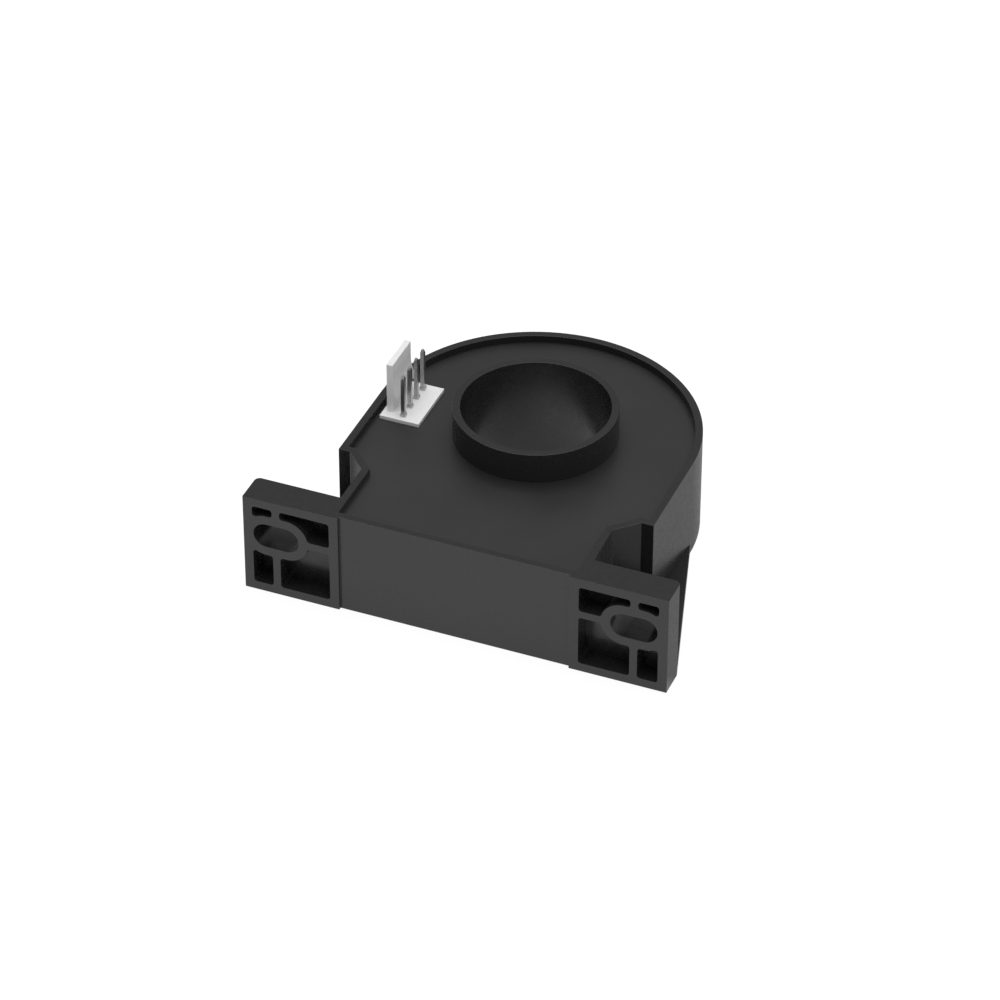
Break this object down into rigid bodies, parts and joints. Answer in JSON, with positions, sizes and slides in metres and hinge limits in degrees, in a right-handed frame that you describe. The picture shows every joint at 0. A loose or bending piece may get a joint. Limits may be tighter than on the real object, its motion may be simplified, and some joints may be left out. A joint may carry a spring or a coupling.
{
  "type": "hall effect current sensor",
  "caption": "Potted Hall effect current sensor: black moulded cup with a round cable aperture, slotted side feet with gussets, and a white locking pin header.",
  "frame": {"origin": "on the aperture's axis, in the plane of the flat rear face", "axes": "+Z along the aperture, out of the open, resin-filled side with the header; -Y towards the mounting face of the two feet; +X along the feet's span, with the header on the -X side"},
  "size_m": [0.0676, 0.0581, 0.0248],
  "materials": {
    "housing_plastic": "satin moulded, black",
    "potting_resin": "cast, satin, black",
    "header_nylon": "moulded, milky white",
    "tinned_pin": "tin plated",
    "ferrite": "ground ferrite, dark grey",
    "board_laminate": "glass laminate, green lacquer",
    "chip_package": "moulded epoxy, black",
    "component_lead": "tin plated",
    "solder": "bright solder",
    "trimmer_base": "moulded, blue",
    "trimmer_rotor": "moulded, white",
    "moulded_capacitor": "moulded epoxy, yellow",
    "chip_resistor": "glazed black with tinned ends",
    "chip_ceramic": "fired ceramic, tan"
  },
  "bodies": {
    "root": {"housing": "housing_plastic", "resin_fill": "potting_resin", "header_base": "header_nylon", "header_pin_1": "tinned_pin", "header_pin_2": "tinned_pin", "header_pin_3": "tinned_pin", "header_pin_4": "tinned_pin", "flux_core": "ferrite", "hall_element": "chip_package", "circuit_board": "board_laminate", "amplifier_body": "chip_package", "solder_joints": "solder", "hall_lead_1": "component_lead", "hall_lead_2": "component_lead", "hall_lead_3": "component_lead", "hall_lead_4": "component_lead", "amplifier_lead_1": "component_lead", "amplifier_lead_2": "component_lead", "amplifier_lead_3": "component_lead", "amplifier_lead_4": "component_lead", "amplifier_lead_5": "component_lead", "amplifier_lead_6": "component_lead", "amplifier_lead_7": "component_lead", "amplifier_lead_8": "component_lead", "trimmer_base_1": "trimmer_base", "trimmer_rotor_1": "trimmer_rotor", "supply_capacitor_1": "moulded_capacitor", "protection_diode_1": "chip_package", "trimmer_base_2": "trimmer_base", "trimmer_rotor_2": "trimmer_rotor", "supply_capacitor_2": "moulded_capacitor", "protection_diode_2": "chip_package", "resistor_1": "chip_resistor", "resistor_2": "chip_resistor", "resistor_3": "chip_resistor", "resistor_4": "chip_resistor", "resistor_5": "chip_resistor", "resistor_6": "chip_resistor", "ceramic_capacitor_1": "chip_ceramic", "ceramic_capacitor_2": "chip_ceramic", "ceramic_capacitor_3": "chip_ceramic"}
  },
  "joints": []
}
